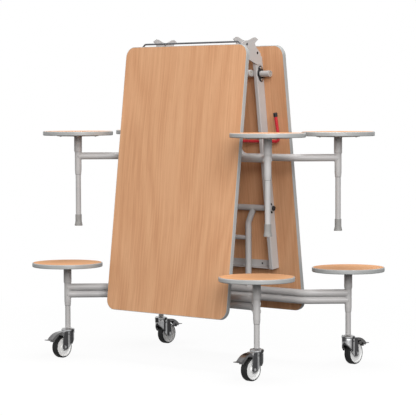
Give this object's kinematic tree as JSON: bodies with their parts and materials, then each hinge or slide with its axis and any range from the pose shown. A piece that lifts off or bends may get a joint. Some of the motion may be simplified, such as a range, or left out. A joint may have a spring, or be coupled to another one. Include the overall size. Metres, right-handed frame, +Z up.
{
  "type": "mobile folding canteen table with stools",
  "caption": "Mobile folding table with two wood-look leaves and round stools on grey steel frames, stored upright on braked castors.",
  "frame": {"origin": "on the floor, in the middle of the folded table", "axes": "+X across the width of the table leaves, +Y the way the rear half unfolds, +Z up"},
  "size_m": [1.504, 0.9662, 1.4875],
  "materials": {
    "wood_laminate": "satin beech-look laminate",
    "edge_band": "light grey T-moulding",
    "painted_steel": "light warm grey powder coat",
    "black_nylon": "black moulded nylon",
    "white_nylon": "natural nylon",
    "zinc_plate": "bright zinc",
    "castor_steel": "zinc-plated pressing",
    "graphite_nylon": "graphite moulded nylon",
    "grey_rubber": "grey rubber",
    "tyre_rubber": "black soft rubber",
    "wheel_white": "white moulded wheel centre",
    "red_paint": "red powder coat",
    "grey_steel": "dark grey coated rod"
  },
  "bodies": {
    "outer_frame_front": {"outer_post_frame_front": "painted_steel", "outer_arm_tubes_front": "painted_steel", "outer_stool_legs_front": "painted_steel", "outer_tube_caps_front": "black_nylon", "outer_seat_boards_front": "wood_laminate", "outer_seat_edges_front": "edge_band"},
    "inner_frame_front": {"inner_frame_tubes_front": "painted_steel", "inner_stool_legs_front": "painted_steel", "inner_seat_boards_front": "wood_laminate", "inner_seat_edges_front": "edge_band", "inner_feet_front": "grey_rubber"},
    "leaf_front": {"leaf_panel_front": "wood_laminate", "leaf_edge_band_front": "edge_band", "leaf_rail_frame_front": "painted_steel", "hinge_plates_front": "painted_steel", "pivot_bushes_front": "black_nylon", "flange_bolts_front": "zinc_plate", "pull_rod": "grey_steel"},
    "outer_frame_rear": {"outer_post_frame_rear": "painted_steel", "outer_arm_tubes_rear": "painted_steel", "outer_stool_legs_rear": "painted_steel", "outer_tube_caps_rear": "black_nylon", "outer_seat_boards_rear": "wood_laminate", "outer_seat_edges_rear": "edge_band"},
    "inner_frame_rear": {"inner_frame_tubes_rear": "painted_steel", "inner_stool_legs_rear": "painted_steel", "inner_seat_boards_rear": "wood_laminate", "inner_seat_edges_rear": "edge_band", "inner_feet_rear": "grey_rubber"},
    "leaf_rear": {"leaf_panel_rear": "wood_laminate", "leaf_edge_band_rear": "edge_band", "leaf_rail_frame_rear": "painted_steel", "hinge_plates_rear": "painted_steel", "pivot_bushes_rear": "black_nylon", "flange_bolts_rear": "zinc_plate", "hinge_pins": "zinc_plate", "handle_bushes": "white_nylon"},
    "lock_handle": {"lock_handle": "red_paint", "lock_handle_caps": "black_nylon"},
    "castor_front_left": {"castor_fork_front_left": "castor_steel", "castor_cover_front_left": "graphite_nylon"},
    "castor_wheel_front_left": {"castor_tyre_front_left": "tyre_rubber", "castor_wheel_front_left": "wheel_white"},
    "castor_pedal_front_left": {"castor_pedal_front_left": "zinc_plate"},
    "castor_front_right": {"castor_fork_front_right": "castor_steel", "castor_cover_front_right": "graphite_nylon"},
    "castor_wheel_front_right": {"castor_tyre_front_right": "tyre_rubber", "castor_wheel_front_right": "wheel_white"},
    "castor_pedal_front_right": {"castor_pedal_front_right": "zinc_plate"},
    "castor_rear_left": {"castor_fork_rear_left": "castor_steel", "castor_cover_rear_left": "graphite_nylon"},
    "castor_wheel_rear_left": {"castor_tyre_rear_left": "tyre_rubber", "castor_wheel_rear_left": "wheel_white"},
    "castor_pedal_rear_left": {"castor_pedal_rear_left": "zinc_plate"},
    "castor_rear_right": {"castor_fork_rear_right": "castor_steel", "castor_cover_rear_right": "graphite_nylon"},
    "castor_wheel_rear_right": {"castor_tyre_rear_right": "tyre_rubber", "castor_wheel_rear_right": "wheel_white"},
    "castor_pedal_rear_right": {"castor_pedal_rear_right": "zinc_plate"}
  },
  "joints": [
    {"name": "rear_leaf_fold", "type": "hinge", "parent": "outer_frame_rear", "child": "leaf_rear", "pos_m": [0, 0.17512, 0.708], "axis": [1, 0, 0], "range_deg": [0, 83.1]},
    {"name": "centre_hinge", "type": "hinge", "parent": "leaf_rear", "child": "leaf_front", "pos_m": [0, 0, 1.43926], "axis": [1, 0, 0], "range_deg": [-166.2, 0]},
    {"name": "front_outer_pivot", "type": "hinge", "parent": "leaf_front", "child": "outer_frame_front", "pos_m": [0, -0.17512, 0.708], "axis": [1, 0, 0], "range_deg": [0, 83.1]},
    {"name": "front_inner_pivot", "type": "hinge", "parent": "leaf_front", "child": "inner_frame_front", "pos_m": [0, -0.10064, 1.32351], "axis": [1, 0, 0], "range_deg": [0, 83.1]},
    {"name": "rear_inner_pivot", "type": "hinge", "parent": "leaf_rear", "child": "inner_frame_rear", "pos_m": [0, 0.10064, 1.32351], "axis": [1, 0, 0], "range_deg": [-83.1, 0]},
    {"name": "lock_handle_turn", "type": "hinge", "parent": "leaf_rear", "child": "lock_handle", "pos_m": [0, 0.13788, 1.01575], "axis": [1, 0, 0], "range_deg": [0, 40]},
    {"name": "castor_swivel_front_left", "type": "hinge", "parent": "outer_frame_front", "child": "castor_front_left", "pos_m": [-0.587, -0.31812, 0.1365], "axis": [0, 0, 1], "continuous": true},
    {"name": "castor_roll_front_left", "type": "hinge", "parent": "castor_front_left", "child": "castor_wheel_front_left", "pos_m": [-0.587, -0.35762, 0.0505], "axis": [1, 0, 0], "continuous": true},
    {"name": "brake_pedal_front_left", "type": "hinge", "parent": "castor_front_left", "child": "castor_pedal_front_left", "pos_m": [-0.587, -0.33132, 0.10855], "axis": [1, 0, 0], "range_deg": [0, 8]},
    {"name": "castor_swivel_front_right", "type": "hinge", "parent": "outer_frame_front", "child": "castor_front_right", "pos_m": [0.587, -0.31812, 0.1365], "axis": [0, 0, 1], "continuous": true},
    {"name": "castor_roll_front_right", "type": "hinge", "parent": "castor_front_right", "child": "castor_wheel_front_right", "pos_m": [0.587, -0.35762, 0.0505], "axis": [1, 0, 0], "continuous": true},
    {"name": "brake_pedal_front_right", "type": "hinge", "parent": "castor_front_right", "child": "castor_pedal_front_right", "pos_m": [0.587, -0.33132, 0.10855], "axis": [1, 0, 0], "range_deg": [0, 8]},
    {"name": "castor_swivel_rear_left", "type": "hinge", "parent": "outer_frame_rear", "child": "castor_rear_left", "pos_m": [-0.587, 0.31812, 0.1365], "axis": [0, 0, 1], "continuous": true},
    {"name": "castor_roll_rear_left", "type": "hinge", "parent": "castor_rear_left", "child": "castor_wheel_rear_left", "pos_m": [-0.587, 0.35762, 0.0505], "axis": [1, 0, 0], "continuous": true},
    {"name": "brake_pedal_rear_left", "type": "hinge", "parent": "castor_rear_left", "child": "castor_pedal_rear_left", "pos_m": [-0.587, 0.33132, 0.10855], "axis": [1, 0, 0], "range_deg": [-8, 0]},
    {"name": "castor_swivel_rear_right", "type": "hinge", "parent": "outer_frame_rear", "child": "castor_rear_right", "pos_m": [0.587, 0.31812, 0.1365], "axis": [0, 0, 1], "continuous": true},
    {"name": "castor_roll_rear_right", "type": "hinge", "parent": "castor_rear_right", "child": "castor_wheel_rear_right", "pos_m": [0.587, 0.35762, 0.0505], "axis": [1, 0, 0], "continuous": true},
    {"name": "brake_pedal_rear_right", "type": "hinge", "parent": "castor_rear_right", "child": "castor_pedal_rear_right", "pos_m": [0.587, 0.33132, 0.10855], "axis": [1, 0, 0], "range_deg": [-8, 0]}
  ],
  "couplings": [
    {"joint": "centre_hinge", "follows": "rear_leaf_fold", "ratio": -2},
    {"joint": "front_outer_pivot", "follows": "rear_leaf_fold", "ratio": 1},
    {"joint": "front_inner_pivot", "follows": "rear_leaf_fold", "ratio": 1},
    {"joint": "rear_inner_pivot", "follows": "rear_leaf_fold", "ratio": -1}
  ]
}
